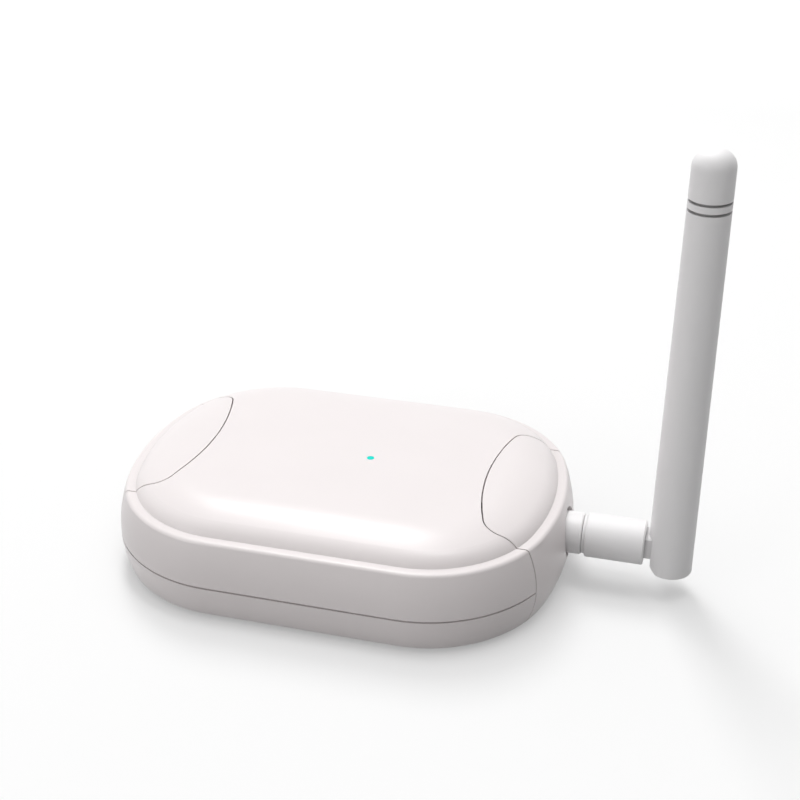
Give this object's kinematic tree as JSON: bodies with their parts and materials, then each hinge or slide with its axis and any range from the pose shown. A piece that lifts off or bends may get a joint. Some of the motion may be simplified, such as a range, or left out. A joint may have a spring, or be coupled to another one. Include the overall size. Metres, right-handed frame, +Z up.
{
  "type": "lora gateway",
  "caption": "Indoor long-range radio gateway: rounded housing with end caps, status light, power inlet and reset button, and a whip antenna that folds and swivels on its connector.",
  "frame": {"origin": "middle of the housing's base underside, 1 mm above the plane that the rubber feet stand on", "axes": "+X towards the antenna along the housing's long direction, +Y towards the back, +Z up"},
  "size_m": [0.1312, 0.0768, 0.1019],
  "materials": {
    "shell_white": "fine satin gloss",
    "antenna_white": "matte",
    "nut_white": "satin",
    "lamp_cyan": "clear, lit from below",
    "foot_rubber": "matte",
    "screw_steel": "zinc plated",
    "board_green": "solder resist",
    "module_blue": "solder resist",
    "can_steel": "tinned",
    "chip_black": "moulded",
    "capacitor_aluminium": "bright",
    "inlet_steel": "nickel plated",
    "button_grey": "matte",
    "gold_brass": "gold plated",
    "insulator_white": "waxy"
  },
  "bodies": {
    "housing": {"top_cover": "shell_white", "base_cover": "shell_white", "left_end_cap": "shell_white", "right_end_cap": "shell_white", "coupling_nut": "nut_white", "light_pipe": "lamp_cyan", "status_lamp": "lamp_cyan", "rubber_feet": "foot_rubber", "case_screws": "screw_steel", "board_screws": "screw_steel", "main_board": "board_green", "radio_module": "module_blue", "network_module": "module_blue", "radio_shield_can": "can_steel", "network_shield_can": "can_steel", "clock_can": "can_steel", "power_choke": "chip_black", "power_chip": "chip_black", "reset_switch": "chip_black", "inlet_tongue": "chip_black", "buffer_capacitors": "capacitor_aluminium", "inlet_shell": "inlet_steel", "antenna_socket": "gold_brass", "socket_contact": "gold_brass", "socket_insulator": "insulator_white"},
    "reset_button": {"reset_button": "button_grey", "switch_nib": "button_grey"},
    "antenna_base": {"knuckle_barrel": "antenna_white", "plug_body": "gold_brass", "plug_insulator": "insulator_white", "plug_pin": "gold_brass", "contact_strip": "gold_brass"},
    "antenna_whip": {"whip_cover": "antenna_white", "hinge_pin": "gold_brass", "radiator_yoke": "gold_brass", "radiator_rod": "gold_brass"}
  },
  "joints": [
    {"name": "antenna_swivel", "type": "hinge", "parent": "housing", "child": "antenna_base", "pos_m": [0.0616, 0, 0.0105], "axis": [1, 0, 0], "continuous": true},
    {"name": "antenna_tilt", "type": "hinge", "parent": "antenna_base", "child": "antenna_whip", "pos_m": [0.0751, 0, 0.0105], "axis": [0, 1, 0], "range_deg": [0, 90]},
    {"name": "reset_press", "type": "slide", "parent": "housing", "child": "reset_button", "axis": [1, 0, 0], "range_m": [0, 0.0004], "stiffness_N_per_m": 1500, "springref_m": -0.0003}
  ]
}
